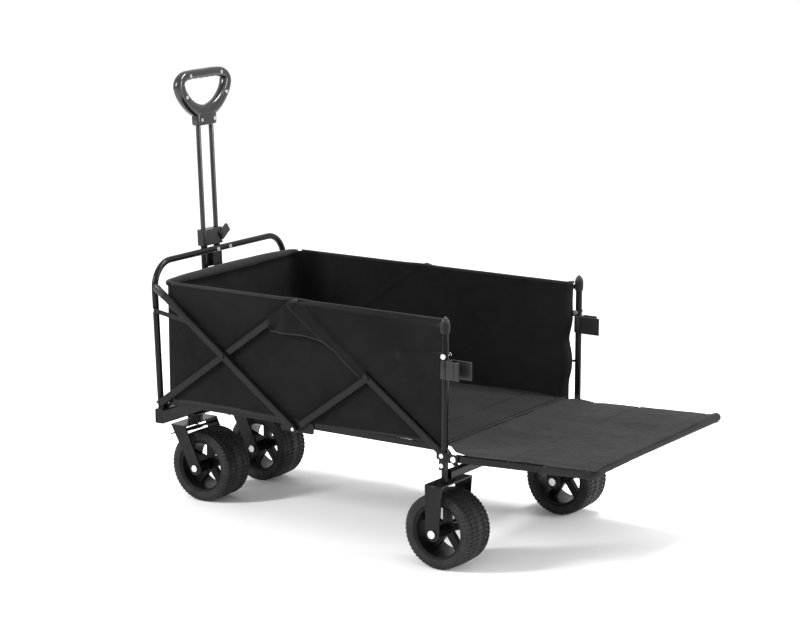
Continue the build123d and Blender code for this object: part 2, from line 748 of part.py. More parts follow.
def rim(axle_x, y):
    """Deep plastic rim: outer barrel, hub and five broad spokes at mid-depth."""
    half = TYRE_W / 2
    with BuildPart() as body:
        with BuildSketch(wheel_plane(axle_x, y).offset(-(half - 6))):
            Circle(RIM_R)
            Circle(RIM_R - 4, mode=Mode.SUBTRACT)
        extrude(amount=TYRE_W - 12)
        with BuildSketch(wheel_plane(axle_x, y).offset(-HUB_HALF)):
            Circle(14)
            Circle(AXLE_R + RUN_FIT, mode=Mode.SUBTRACT)
        extrude(amount=2 * HUB_HALF)
        with BuildSketch(wheel_plane(axle_x, y).offset(-7)):
            with PolarLocations(0, 5, start_angle=90):
                with Locations((12, -9)):
                    Rectangle(RIM_R - 14, 18, align=(Align.MIN, Align.MIN))
        extrude(amount=14)
    return body.part


for name, side in SIDES.items():
    save(tyre(FRONT_AXLE_X, side * FRONT_TRACK), f"tyre_front_{name}")
    save(tyre(REAR_AXLE_X, side * REAR_TRACK), f"tyre_rear_{name}")
    save(rim(FRONT_AXLE_X, side * FRONT_TRACK), f"rim_front_{name}")
    save(rim(REAR_AXLE_X, side * REAR_TRACK), f"rim_rear_{name}")

    out = FORK_IN + FORK_T
    with BuildPart() as caster_axle:
        axle_low = wheel_plane(FRONT_AXLE_X, side * FRONT_TRACK).offset(-out - 5)
        with BuildSketch(axle_low):
            Circle(AXLE_R)
        extrude(amount=2 * out + 10)
        with BuildSketch(axle_low, axle_low.offset(2 * out + 5)):
            RegularPolygon(9.5, 6)
        extrude(amount=5)
    save(caster_axle.part, f"caster_axle_{name}")

    # brake pedal hung between the fork legs, with its shoe above the tread
    with BuildPart() as brake:
        with BuildSketch(lengthwise(side * FRONT_TRACK + BRAKE_HALF)):
            with BuildLine():
                Polyline(
                    (BRAKE_X + 4, BRAKE_Z + 3),
                    (BRAKE_X + 4, BRAKE_Z - 4),
                    (BRAKE_X - 10, BRAKE_Z - 9),
                    (BRAKE_TIP_X, BRAKE_Z - 30),
                    (BRAKE_TIP_X, BRAKE_Z - 27),
                    (BRAKE_X - 10, BRAKE_Z + 2),
                    close=True,
                )
            make_face()
        extrude(amount=2 * BRAKE_HALF)
        with BuildSketch(wheel_plane(0, side * FRONT_TRACK).offset(-FORK_IN)):
            with Locations((BRAKE_X, BRAKE_Z - WHEEL_R)):
                Circle(3.5)
        extrude(amount=2 * FORK_IN)
    save(brake.part, f"brake_pedal_{name}")

# ---------------------------------------------------------------- pull handle


def on_handle(forward=0.0):
    """Crosswise plane along the leaning handle: local x is +Y, local y its length."""
    return leaning(HANDLE_X, HANDLE_Z, HANDLE_LEAN, forward)


def across_handle(up):
    """Plane square to the handle at the given length: local x is +Y."""
    return lean_base(HANDLE_X, HANDLE_Z, HANDLE_LEAN, up)


bore = INNER_TUBE_R + RUN_FIT
tube_spots = [(-HANDLE_Y, 0), (HANDLE_Y, 0)]
with BuildPart() as handle_outer_tubes:
    with BuildSketch(across_handle(14)):
        with Locations(*tube_spots):
            Circle(OUTER_TUBE_R)
    extrude(amount=COLLAR_LOW + 20 - 14)
    with BuildSketch(lengthwise(40 - FACE_GAP)):
        with Locations((HANDLE_X, HANDLE_Z)):
            Circle(12)
    extrude(amount=2 * (40 - FACE_GAP))
    with BuildSketch(lengthwise(48)):
        with Locations((HANDLE_X, HANDLE_Z)):
            Circle(5 + RUN_FIT)
    extrude(amount=96, mode=Mode.SUBTRACT)
    with BuildSketch(across_handle(330)):
        Rectangle(2 * HANDLE_Y, 5)
    extrude(amount=34)
    with BuildSketch(across_handle(16)):
        with Locations(*tube_spots):
            Circle(bore)
    extrude(amount=COLLAR_LOW + 4, mode=Mode.SUBTRACT)
save(handle_outer_tubes.part, "handle_outer_tubes")

with BuildPart() as handle_collar:
    with BuildSketch(across_handle(COLLAR_LOW)):
        RectangleRounded(78, 27, 8)
        with Locations(*tube_spots):
            Circle(OUTER_TUBE_R, mode=Mode.SUBTRACT)
    extrude(amount=20)
    with BuildSketch(across_handle(COLLAR_LOW + 20)):
        RectangleRounded(78, 27, 8)
        with Locations(*tube_spots):
            Circle(bore, mode=Mode.SUBTRACT)
    extrude(amount=COLLAR_TOP - COLLAR_LOW - 20)
    with BuildSketch(on_handle(13.5)):
        with Locations((LEVER_Y, LEVER_S)):
            Circle(3)
    extrude(amount=8)
    with BuildSketch(on_handle(19.5)):
        with Locations((LEVER_Y, LEVER_S)):
            Circle(5)
    extrude(amount=2)
save(handle_collar.part, "handle_collar")

with BuildPart() as lock_lever:
    with BuildSketch(on_handle(14)):
        with Locations(Location((LEVER_Y + 9, LEVER_S + 6), 35)):
            RectangleRounded(38, 23, 3)
        with Locations((LEVER_Y, LEVER_S)):
            Circle(3 + RUN_FIT, mode=Mode.SUBTRACT)
    extrude(amount=5)
save(lock_lever.part, "lock_lever")

with BuildPart() as handle_inner_tubes:
    with BuildSketch(across_handle(INNER_LOW)):
        with Locations(*tube_spots):
            Circle(INNER_TUBE_R)
            Circle(INNER_TUBE_R - TUBE_WALL, mode=Mode.SUBTRACT)
    extrude(amount=GRIP_LOW + 22 - INNER_LOW)
save(handle_inner_tubes.part, "handle_inner_tubes")

# D-shaped grip: a ring that narrows to a plate over the two tubes
GRIP_T = 26.0
GRIP_TOP_S = 832.0
with BuildPart() as handle_grip:
    with BuildSketch(on_handle(-GRIP_T / 2)):
        with BuildSketch(mode=Mode.PRIVATE) as outline:
            with Locations((-73, GRIP_TOP_S - 35), (73, GRIP_TOP_S - 35)):
                Circle(35)
            with Locations((0, GRIP_LOW + 15)):
                RectangleRounded(80, 30, 6)
        make_hull(outline.edges())
        with BuildSketch(mode=Mode.PRIVATE) as opening:
            with Locations((-64, GRIP_TOP_S - 37), (64, GRIP_TOP_S - 37)):
                Circle(11)
            with Locations((0, GRIP_LOW + 62)):
                Circle(14)
        make_hull(opening.edges(), mode=Mode.SUBTRACT)
    extrude(amount=GRIP_T)
    fillet(handle_grip.faces().filter_by(lambda f: f.area > 5000).edges(), 4)
    with BuildSketch(across_handle(GRIP_LOW - 1)):
        with Locations(*tube_spots):
            Circle(INNER_TUBE_R)
    extrude(amount=23, mode=Mode.SUBTRACT)
save(handle_grip.part, "handle_grip")

screws = []
for y, s in ((62, 14), (80, 66), (25, 14)):
    for way in (-1, 1):
        with BuildPart() as grip_screw:
            with BuildSketch(on_handle(GRIP_T / 2)):
                with Locations((way * y, GRIP_TOP_S - s if y > 30 else GRIP_LOW + s)):
                    Circle(4.5)
            extrude(amount=1.5)
        screws.append(grip_screw.part)
save(group(screws), "grip_screws")
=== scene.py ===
import math

import bpy
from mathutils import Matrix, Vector, noise


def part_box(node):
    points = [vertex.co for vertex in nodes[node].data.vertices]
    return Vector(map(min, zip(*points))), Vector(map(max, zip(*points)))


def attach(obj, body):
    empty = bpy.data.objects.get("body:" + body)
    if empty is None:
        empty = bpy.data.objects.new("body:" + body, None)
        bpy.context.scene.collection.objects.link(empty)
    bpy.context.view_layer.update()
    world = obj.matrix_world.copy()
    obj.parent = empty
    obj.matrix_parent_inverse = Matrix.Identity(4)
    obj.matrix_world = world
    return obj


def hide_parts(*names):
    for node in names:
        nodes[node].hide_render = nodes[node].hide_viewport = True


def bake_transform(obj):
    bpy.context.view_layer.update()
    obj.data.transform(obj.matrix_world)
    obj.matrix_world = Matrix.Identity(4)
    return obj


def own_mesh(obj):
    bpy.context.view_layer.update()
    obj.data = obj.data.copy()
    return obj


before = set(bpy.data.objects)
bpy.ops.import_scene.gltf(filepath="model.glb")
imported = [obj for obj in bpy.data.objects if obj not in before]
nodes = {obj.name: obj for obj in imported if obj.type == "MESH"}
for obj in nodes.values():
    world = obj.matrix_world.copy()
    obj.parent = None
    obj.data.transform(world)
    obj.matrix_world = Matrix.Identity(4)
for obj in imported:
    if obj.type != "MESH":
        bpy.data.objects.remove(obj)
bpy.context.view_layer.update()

SIDES = {"near": -1, "far": 1}


def high(node):
    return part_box(node)[1]


def middle(node):
    a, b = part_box(node)
    return (a + b) / 2


# ---------------------------------------------------------------- materials


class Nodes:
    """Short way to write one material's node tree."""

    def __init__(self, name):
        self.material = bpy.data.materials.new(name)
        self.material.use_nodes = True
        self.tree = self.material.node_tree
        self.shader = self.tree.nodes["Principled BSDF"]
        self.coords = self.tree.nodes.new("ShaderNodeTexCoord")

    def add(self, kind, inputs=None, **settings):
        node = self.tree.nodes.new(kind)
        for key, value in settings.items():
            setattr(node, key, value)
        for key, value in (inputs or {}).items():
            if isinstance(value, bpy.types.NodeSocket):
                self.tree.links.new(value, node.inputs[key])
            else:
                node.inputs[key].default_value = value
        return node

    def noise(self, scale, detail=4.0, source="Object"):
        settings = {"Vector": self.coords.outputs[source], "Scale": scale, "Detail": detail}
        return self.add("ShaderNodeTexNoise", settings).outputs["Fac"]

    def span(self, value, low_out, high_out, low_in=0.3, high_in=0.7):
        settings = {0: value, 1: low_in, 2: high_in, 3: low_out, 4: high_out}
        return self.add("ShaderNodeMapRange", settings).outputs[0]

    def math(self, operation, a, b=0.0):
        return self.add("ShaderNodeMath", {0: a, 1: b}, operation=operation).outputs[0]

    def mix(self, share, first, second):
        node = self.add("ShaderNodeMix", {"Factor": share}, data_type="RGBA")
        for key, value in ((6, first), (7, second)):
            if isinstance(value, bpy.types.NodeSocket):
                self.tree.links.new(value, node.inputs[key])
            else:
                node.inputs[key].default_value = (*value, 1.0)
        return node.outputs[2]

    def bump(self, height, strength, distance, below=None):
        settings = {"Height": height, "Strength": strength, "Distance": distance}
        if below is not None:
            settings["Normal"] = below
        return self.add("ShaderNodeBump", settings).outputs["Normal"]

    def worn_edge(self, radius):
        """About 1 on sharp edges and 0 on flat faces."""
        bevel = self.add("ShaderNodeBevel", {"Radius": radius}, samples=4)
        geometry = self.add("ShaderNodeNewGeometry")
        facing = self.add(
            "ShaderNodeVectorMath",
            {0: bevel.outputs[0], 1: geometry.outputs["Normal"]},
            operation="DOT_PRODUCT",
        )
        return self.span(facing.outputs["Value"], 1.0, 0.0, 0.86, 0.99)

    def link(self, socket, value):
        self.tree.links.new(value, self.shader.inputs[socket])


def paint(name, dark, pale, rough, wear=0.5, metal=0.0, coat=0.0, shine=0.3):
    """Powder coat, plastic or plated steel: mottled colour, fine grain, lighter worn edges."""
    n = Nodes(name)
    edge = n.math("MULTIPLY", n.worn_edge(0.0012), n.span(n.noise(60.0), 0.3, 1.0))
    body = n.mix(n.span(n.noise(14.0, 6.0), 0.0, 1.0), dark, pale)
    worn = tuple(min(1.0, 2.4 * c + 0.02) for c in pale)
    n.link("Base Color", n.mix(n.math("MULTIPLY", edge, wear), body, worn))
    n.link("Roughness", n.span(n.noise(45.0, 5.0), rough - 0.07, rough + 0.09))
    n.link("Normal", n.bump(n.noise(1400.0, 2.0), 0.1, 0.0002))
    n.shader.inputs["Metallic"].default_value = metal
    n.shader.inputs["Specular IOR Level"].default_value = shine
    n.shader.inputs["Coat Weight"].default_value = coat
    n.shader.inputs["Coat Roughness"].default_value = 0.25
    return n.material


def fabric(name, dark, pale, rough=0.88, sheen=0.02, thread=0.0011):
    """Coated Oxford cloth: crossed threads, slubs and a slightly uneven dye."""
    n = Nodes(name)
    parts = n.add("ShaderNodeSeparateXYZ", {0: n.coords.outputs["UV"]}).outputs
    pitch = 2 * math.pi / thread
    warp = n.math("SINE", n.math("MULTIPLY", parts[0], pitch))
    weft = n.math("SINE", n.math("MULTIPLY", parts[1], pitch))
    weave = n.math("MULTIPLY", warp, weft)
    slub = n.noise(900.0, 3.0)
    tone = n.math("ADD", n.span(n.noise(9.0, 8.0), 0.0, 0.75), n.span(slub, 0.0, 0.25))
    body = n.mix(tone, dark, pale)
    n.link("Base Color", n.mix(n.span(weave, 0.0, 0.3, 0.2, 1.0), body, tuple(1.7 * c for c in pale)))
    n.link("Roughness", n.span(n.noise(30.0, 4.0), rough - 0.06, rough + 0.08))
    creases = n.bump(n.noise(22.0, 5.0), 0.5, 0.005)
    threads = n.bump(n.math("ADD", weave, slub), 0.3, 0.0003, creases)
    n.link("Normal", threads)
    n.shader.inputs["Specular IOR Level"].default_value = 0.05
    n.shader.inputs["Sheen Weight"].default_value = sheen
    n.shader.inputs["Sheen Roughness"].default_value = 0.5
    return n.material


def rubber(name, dark, pale):
    n = Nodes(name)
    n.link("Base Color", n.mix(n.span(n.noise(26.0, 7.0), 0.0, 1.0), dark, pale))
    n.link("Roughness", n.span(n.noise(70.0, 4.0), 0.6, 0.8))
    n.link("Normal", n.bump(n.noise(700.0, 3.0), 0.35, 0.0005))
    n.shader.inputs["Specular IOR Level"].default_value = 0.28
    return n.material


def grey(value, warm=0.0):
    return (value * (1 + warm), value, value * (1 - warm))


FRAME = paint("frame_paint", grey(0.003), grey(0.006), 0.22, shine=0.14)
INNER_TUBE = paint("inner_tube_paint", grey(0.006), grey(0.012), 0.24, coat=0.1, shine=0.4)
ZINC = paint("zinc_steel", grey(0.42, 0.02), grey(0.62, 0.01), 0.3, 0.2, metal=1.0, shine=0.5)
PLASTIC = paint("black_plastic", grey(0.006), grey(0.012), 0.36, 0.3)
GRIP = paint("grip_plastic", grey(0.004), grey(0.007), 0.2, 0.2, coat=0.25, shine=0.4)
RIM = paint("rim_plastic", grey(0.003), grey(0.006), 0.38, 0.3, shine=0.15)
WALL = fabric("wall_fabric", grey(0.0045), grey(0.0085))
FLOOR = fabric("floor_fabric", grey(0.009), grey(0.015))
# Tailgate cloth: the floor's cloth with the same weave and uneven dye, in a lighter tone that is painted
# light for the light falling on the upturned tailgate
GATE_CLOTH_PAINTED_LIGHT = fabric("gate_fabric", grey(0.012), grey(0.021), 0.8)
PIPING = fabric("piping_fabric", grey(0.009), grey(0.016), 0.66, 0.1, 0.0016)
RUBBER = rubber("tyre_rubber", grey(0.008, 0.01), grey(0.016, 0.01))


def finish_cad(node, material, bevel=0.0007):
    """Softens a CAD node's edges and gives it its finish."""
    obj = nodes[node]
    obj.data.materials.clear()
    obj.data.materials.append(material)
    weld = obj.modifiers.new("weld", "WELD")
    weld.merge_threshold = 0.00001
    round_off = obj.modifiers.new("bevel", "BEVEL")
    round_off.width = bevel
    round_off.segments = 3
    round_off.limit_method = "ANGLE"
    round_off.angle_limit = math.radians(35)
    round_off.harden_normals = True


# ---------------------------------------------------------------- mesh helpers


def add_mesh(name, verts, faces, material, uv=None, smooth=True):
    mesh = bpy.data.meshes.new(name)
    mesh.from_pydata([tuple(v) for v in verts], [], faces)
    mesh.materials.append(material)
    if uv:
        layer = mesh.uv_layers.new(name="UVMap")
        for loop in mesh.loops:
            layer.data[loop.index].uv = uv[loop.vertex_index]
    mesh.polygons.foreach_set("use_smooth", [smooth] * len(mesh.polygons))
    mesh.update()
    obj = bpy.data.objects.new(name, mesh)
    bpy.context.scene.collection.objects.link(obj)
    return obj


def cloth(name, across, along, place, thick, material):
    """Closed thin sheet over an even grid; place(u, v) gives its middle surface, u and v from 0 to 1."""
    grid = [[Vector(place(i / across, j / along)) for j in range(along + 1)] for i in range(across + 1)]
    verts, uv, faces = [], [], []
    rows = along + 1
    for layer in (1, -1):
        for i in range(across + 1):
            run = 0.0
            for j in range(rows):
                du = grid[min(i + 1, across)][j] - grid[max(i - 1, 0)][j]
                dv = grid[i][min(j + 1, along)] - grid[i][max(j - 1, 0)]
                normal = du.cross(dv).normalized()
                verts.append(grid[i][j] + normal * (layer * thick / 2))
                if j:
                    run += (grid[i][j] - grid[i][j - 1]).length
                uv.append(((grid[i][j] - grid[0][j]).length, run))
    count = (across + 1) * rows

    for i in range(across):
        for j in range(along):
            a, b = i * rows + j, (i + 1) * rows + j
            faces.append((a, b, b + 1, a + 1))
            faces.append((count + a, count + a + 1, count + b + 1, count + b))
    for i in range(across):
        a, b = i * rows, (i + 1) * rows
        faces.append((a, count + a, count + b, b))
        a, b = a + along, b + along
        faces.append((a, b, count + b, count + a))
    for j in range(along):
        a = j
        faces.append((a, a + 1, count + a + 1, count + a))
        a = across * rows + j
        faces.append((a, count + a, count + a + 1, a + 1))
    return add_mesh(name, verts, faces, material, uv)


def roll(name, path, radius, material, sides=12, flat=1.0, up=(0, 0, 1)):
    """Closed tube along a line of points, with a radius for each point or one for all."""
    points = [Vector(p) for p in path]
    radii = radius if isinstance(radius, list) else [radius] * len(points)
    verts, uv, faces = [], [], []
    run = 0.0
    for i, point in enumerate(points):
        ahead = points[min(i + 1, len(points) - 1)] - points[max(i - 1, 0)]
        side = ahead.cross(Vector(up)).normalized()
        top = side.cross(ahead).normalized()
        if i:
            run += (point - points[i - 1]).length
        for k in range(sides):
            turn = 2 * math.pi * k / sides
            ring = side * math.cos(turn) * flat + top * math.sin(turn)
            verts.append(point + ring * radii[i])
            uv.append((run, k * radii[i] * 2 * math.pi / sides))
    for i in range(len(points) - 1):
        for k in range(sides):
            a, b = i * sides + k, i * sides + (k + 1) % sides
            faces.append((a, a + sides, b + sides, b))
    faces.append(tuple(range(sides)))
    last = (len(points) - 1) * sides
    faces.append(tuple(last + k for k in reversed(range(sides))))
    return add_mesh(name, verts, faces, material, uv)


def smooth_step(value):
    value = min(1.0, max(0.0, value))
    return value * value * (3 - 2 * value)


def ridge(distance, half, fall):
    """1 within half of a line, falling to 0 over the distance fall."""
    return smooth_step(1 - (abs(distance) - half) / fall)


def ripple(x, y, size, seed=0.0):
    return noise.noise(Vector((x / size, y / size, seed)))


def from_line(point, start, end):
    """Signed distance of a point from a line in the XZ plane, and the share along it."""
    dx, dz = end[0] - start[0], end[1] - start[1]
    length = math.hypot(dx, dz)
    px, pz = point[0] - start[0], point[1] - start[1]
    return (dx * pz - dz * px) / length, (px * dx + pz * dz) / length**2


def profile(points, x):
    """Straight-line interpolation through (x, value) points."""
    if x <= points[0][0]:
        return points[0][1]
    for (x0, y0), (x1, y1) in zip(points, points[1:]):
        if x <= x1:
            return y0 + (y1 - y0) * (x - x0) / (x1 - x0)
    return points[-1][1]


# ---------------------------------------------------------------- places from the CAD

mid_x = middle("floor_center").x
wall_low, wall_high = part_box("wall_near")
rim_z = wall_high.z + 0.003
wall_y = abs(wall_low.y) - 0.0015
wall_rear = wall_high.x
post = middle("post_caps")
post_y = high("post_caps").y - 0.0095
front_x = high("front_wall").x + 0.017
corner_r = 0.025
bar_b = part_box("bar_b_near")
bar_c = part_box("bar_c_near")
bar_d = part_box("bar_d_near")
bar_half = 0.009
top_point = (mid_x, bar_b[1].z - bar_half)
front_point = (bar_b[0].x + bar_half, bar_b[0].z + bar_half)
rear_point = (bar_c[1].x - bar_half, bar_c[0].z + bar_half)
foot_point = (mid_x, bar_d[0].z + bar_half)
d_end = (bar_d[1].x - bar_half, bar_d[1].z - bar_half)
inner_face = abs(bar_b[0].y) + 0.0007
outer_face = abs(bar_c[0].y) + 0.0008
link_z = middle("link_rear_near").z
tie_heights = (rim_z - 0.016, link_z, wall_low.z + 0.092)
post_face = post.x - 0.0085


REAR_STEP = 0.019  # the wall's rear edge steps out to the post by this
UPPER_Z = 0.42  # bar B and C mark the inner sheet above this height
LINK_COVER_Y = 0.2895  # |Y| of the outer sheet over the rear link


def hem_dip(u, x):
    """Wavy lower edge of a side wall."""
    return 0.003 * math.sin(9 * u) + 0.002 * ripple(x, 1.0, 0.09)


def squash_wall(obj):
    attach(obj, "front_frame")
    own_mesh(obj)


# ---------------------------------------------------------------- fabric walls


def inner_wall(side):
    """Inner sheet of a side wall, from the front corner to the rear edge."""
    start = front_x + corner_r - 0.001

    def place(u, v):
        x = start + (post_face - start) * u
        rear = smooth_step((x - wall_rear) / (post_face - wall_rear))
        z_top = rim_z - 0.001 - 0.003 * math.sin(math.pi * u) * (1 - ridge(x - mid_x, 0.03, 0.15))
        z_low = wall_low.z - 0.004 + hem_dip(u, x) * (1 - rear)
        z = z_low + (z_top - z_low) * v
        slack = math.sin(math.pi * v) * math.sin(math.pi * min(1.0, 4 * u))
        bulge = -0.0022 * slack * (0.5 + 0.5 * math.sin(7 * u + 2.2 * v))
        lines = 0.0015 * ripple(x + 0.7 * z, z, 0.05, side) * (0.3 + slack)
        lines += 0.0009 * ripple(x - 1.4 * z, 0.3 * z, 0.018, side + 3) * slack
        for start_point, end_point in ((front_point, top_point), (top_point, rear_point)):
            aside, share = from_line((x, z), start_point, end_point)
            upper = smooth_step((z - UPPER_Z) / 0.03) * smooth_step((1.02 - share) / 0.02)
            upper *= smooth_step((share + 0.02) / 0.02)
            lines -= 0.0018 * upper * ridge(aside - bar_half, 0.0012, 0.004)
        tie = min(1.0, sum(ridge(z - t, 0.006, 0.055) for t in tie_heights))
        x -= 0.009 * smooth_step((u - 0.96) / 0.04) * (1 - tie)
        return (x, side * (wall_y + bulge + lines + REAR_STEP * rear), z)

    return place


flap_start = mid_x - 0.076
flap_turn = mid_x + 0.135  # the outer sheet's lower edge meets bar C here
flap_crossing = mid_x + 0.211  # bar C crosses bar D here
c_slope = (top_point[1] - rear_point[1]) / (rear_point[0] - top_point[0])


def cover(x, z):
    """|Y| that the outer sheet keeps over the bars, link and rivets it hides."""
    under_c = smooth_step((x - mid_x - 0.19) / 0.05)
    base = wall_y + 0.004 + 0.0125 * smooth_step((x - flap_start) / 0.05) * (1 - under_c) + 0.009 * under_c
    b, b_share = from_line((x, z), front_point, top_point)
    c, c_share = from_line((x, z), top_point, rear_point)
    d, d_share = from_line((x, z), foot_point, d_end)
    over_b = ridge(b, bar_half, 0.012) * smooth_step((1.04 - b_share) / 0.04)
    over_c = ridge(c, bar_half, 0.013) * smooth_step((c_share + 0.03) / 0.03)
    over_c *= smooth_step((0.53 - c_share) / 0.07)
    over_d = ridge(d, bar_half, 0.014) * smooth_step((1.02 - d_share) / 0.03)
    head = ridge(math.hypot(x - top_point[0], z - top_point[1]), 0.008, 0.009)
    strap = ridge(z - link_z + 0.04 * (wall_rear - x), 0.006, 0.012)
    strap *= smooth_step((x - mid_x - 0.28) / 0.03)
    y = base + over_b * (inner_face - base)
    y = max(y, base + over_d * (inner_face - base))
    y = max(y, base + over_c * (outer_face - base))
    y = max(y, base + strap * (LINK_COVER_Y - base))
    return max(y, base + head * (outer_face + 0.0028 - base))


def flap_low(x):
    """Lower edge of the outer sheet: across the fold line, then tucked behind bar C."""
    rise = bar_half * math.sqrt(1 + c_slope**2)
    c_line = top_point[1] - c_slope * (x - top_point[0])
    edge = profile(
        [(flap_start, 0.494), (mid_x + 0.03, 0.4975), (mid_x + 0.095, 0.489), (flap_turn, 0.468)], x
    )
    under_c = c_line - rise - 0.001
    if x > flap_turn:
        edge = under_c
    if x > flap_crossing - 0.012:
        tuck = smooth_step((x - flap_crossing + 0.012) / 0.02)
        edge = under_c + tuck * (2 * rise + 0.002)
    return max(edge, wall_low.z + 0.002)


def flap_high(x):
    if x < mid_x:
        b_slope = (top_point[1] - front_point[1]) / (top_point[0] - front_point[0])
        b_line = top_point[1] + b_slope * (x - top_point[0])
        return min(rim_z - 0.002, b_line + bar_half * math.sqrt(1 + b_slope**2) + 0.004)
    return rim_z - 0.002


def outer_wall(side):
    """Outer sheet of a side wall, over the upper halves of bars B, C and D."""

    def place(u, v):
        x = flap_start + (wall_rear - 0.001 - flap_start) * u
        z_low, z_high = flap_low(x), flap_high(x)
        z = z_low + (z_high - z_low) * v
        y = cover(x, z)
        free = math.sin(math.pi * v) ** 0.5
        y += 0.0012 * (ripple(x + 0.5 * z, z, 0.06, 4 + side) + 0.6) * free
        if x > mid_x + 0.205:
            tight = smooth_step((v - 0.02) / 0.12)
            y = min(y, outer_face - 0.0095 + 0.012 * tight)
        top = smooth_step((v - 0.93) / 0.07)
        near_apex = ridge(x - mid_x, 0.012, 0.03)
        y += top * (wall_y + 0.002 - y) * (1 - 0.8 * near_apex)
        return (x, side * y, z)

    return place


for name, side in SIDES.items():
    inner = cloth(f"wall_cloth_{name}", 150, 70, inner_wall(side), 0.0012, WALL)
    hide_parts(f"wall_{name}")
    squash_wall(inner)
    outer = cloth(f"outer_cloth_{name}", 190, 50, outer_wall(side), 0.001, WALL)
    squash_wall(outer)
    outer_area = 0.0
    for i in range(60):
        x = flap_start + (wall_rear - flap_start) * (i + 0.5) / 60
        outer_area += (flap_high(x) - flap_low(x)) * (wall_rear - flap_start) / 60

    def rim_path(side=side):
        start = front_x + corner_r
        for i in range(91):
            x = start + (post_face + 0.001 - start) * i / 90
            lift = 0.0015 * ridge(x - mid_x, 0.012, 0.04)
            y = wall_y + 0.0006 + 0.0008 * ripple(x, 2.0, 0.08)
            y += REAR_STEP * smooth_step((x - wall_rear) / (post_face - wall_rear))
            yield (x, side * y, rim_z - 0.003 + lift)

    rim_hem = roll(f"rim_hem_{name}", rim_path(), 0.0036, PIPING, flat=0.7)
    squash_wall(rim_hem)

    def flap_edge(side=side):
        for i in range(101):
            x = flap_start + (mid_x + 0.198 - flap_start) * i / 100
            z = flap_low(x)
            yield (x, side * (cover(x, z) + 0.0012), z + 0.001)

    edge_hem = roll(f"flap_hem_{name}", flap_edge(), 0.0019, PIPING, 8)
    squash_wall(edge_hem)

    def bottom_path(side=side):
        start = front_x + corner_r
        for i in range(91):
            u = i / 90
            x = start + (wall_rear - 0.004 - start) * u
            dip = hem_dip(u, x) * (1 - max(0.0, (u - 0.97) / 0.03))
            yield (x, side * (wall_y + 0.0004), wall_low.z - 0.001 + dip)

    bottom_hem = roll(f"bottom_hem_{name}", bottom_path(), 0.0033, PIPING, flat=0.6)
    squash_wall(bottom_hem)


def front_plan(u):
    """Plan of the front wall: straight across, with a rounded corner at each end."""
    arc = corner_r * math.pi / 2
    flat = 2 * (wall_y - corner_r)
    run = u * (flat + 2 * arc)
    centre_x = front_x + corner_r
    if run < arc:
        turn = run / corner_r
        return centre_x - corner_r * math.sin(turn), -(wall_y - corner_r) - corner_r * math.cos(turn)
    if run > arc + flat:
        turn = (run - arc - flat) / corner_r
        return centre_x - corner_r * math.cos(turn), wall_y - corner_r + corner_r * math.sin(turn)
    return front_x, -(wall_y - corner_r) + run - arc


def front_place(u, v):
    x, y = front_plan(u)
    z = wall_low.z + (rim_z - wall_low.z - 0.004) * v
    slack = math.sin(math.pi * u) ** 1.5
    x -= slack * (0.006 * v + 0.003 * math.sin(math.pi * v))
    x += slack * 0.0018 * ripple(y + 0.6 * z, z, 0.07, 8.0)
    return (x, y, z)


front = cloth("front_wall_cloth", 130, 60, front_place, 0.0012, WALL)
squash_wall(front)
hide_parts("front_wall")

front_rim = []
for i in range(101):
    u = 0.02 + 0.96 * i / 100
    x, y = front_plan(u)
    slack = math.sin(math.pi * u) ** 1.5
    front_rim.append((x - 0.006 * slack, y, rim_z - 0.006 + 0.0012 * ripple(y, 3.0, 0.09)))
rim_radius = [0.005 + 0.006 * math.sin(math.pi * i / 100) ** 0.5 for i in range(101)]
front_hem = roll("front_rim_hem", front_rim, rim_radius, PIPING, 16)
squash_wall(front_hem)
front_bottom = [(*front_plan(i / 60), wall_low.z + 0.001) for i in range(61)]
bottom = roll("front_bottom_hem", front_bottom, 0.0033, PIPING)
squash_wall(bottom)

# ---------------------------------------------------------------- floor


def board(name, x0, x1, half_y, z0, z1, wave, seed):
    """Padded board in cloth: rounded edges, a shallow hollow and soft creases."""
    across, along = 60, 90
    verts, uv, faces = [], [], []
    for i in range(across + 1):
        u = i / across
        x = x0 + (x1 - x0) * u
        end = ridge(u - 0.5, 0.47, 0.03)
        for j in range(along + 1):
            v = j / along
            y = -half_y + 2 * half_y * v
            edge = ridge(v - 0.5, 0.485, 0.015)
            round_top = (1 - end * edge) * 0.0022
            z = z1 - round_top - wave * (0.5 + 0.5 * ripple(x, y, 0.07, seed))
            z -= 0.4 * wave * (0.5 + 0.5 * ripple(x + y, x - y, 0.03, seed + 1))
            verts.append((x, y, z))
            uv.append((x, y))
    rows = along + 1
    base = len(verts)
    for i in range(across + 1):
        for j in range(along + 1):
            verts.append((x0 + (x1 - x0) * i / across, -half_y + 2 * half_y * j / along, z0))
            uv.append((verts[-1][0], verts[-1][1]))
    for i in range(across):
        for j in range(along):
            a, b = i * rows + j, (i + 1) * rows + j
            faces.append((a, b, b + 1, a + 1))
            faces.append((base + a, base + a + 1, base + b + 1, base + b))
    for i in range(across):
        a, b = i * rows, (i + 1) * rows
        faces.append((a, base + a, base + b, b))
        a, b = a + along, b + along
        faces.append((a, b, base + b, base + a))
    for j in range(along):
        faces.append((j, j + 1, base + j + 1, base + j))
        a = across * rows + j
        faces.append((a, base + a, base + a + 1, a + 1))
    return add_mesh(name, verts, faces, FLOOR, uv)


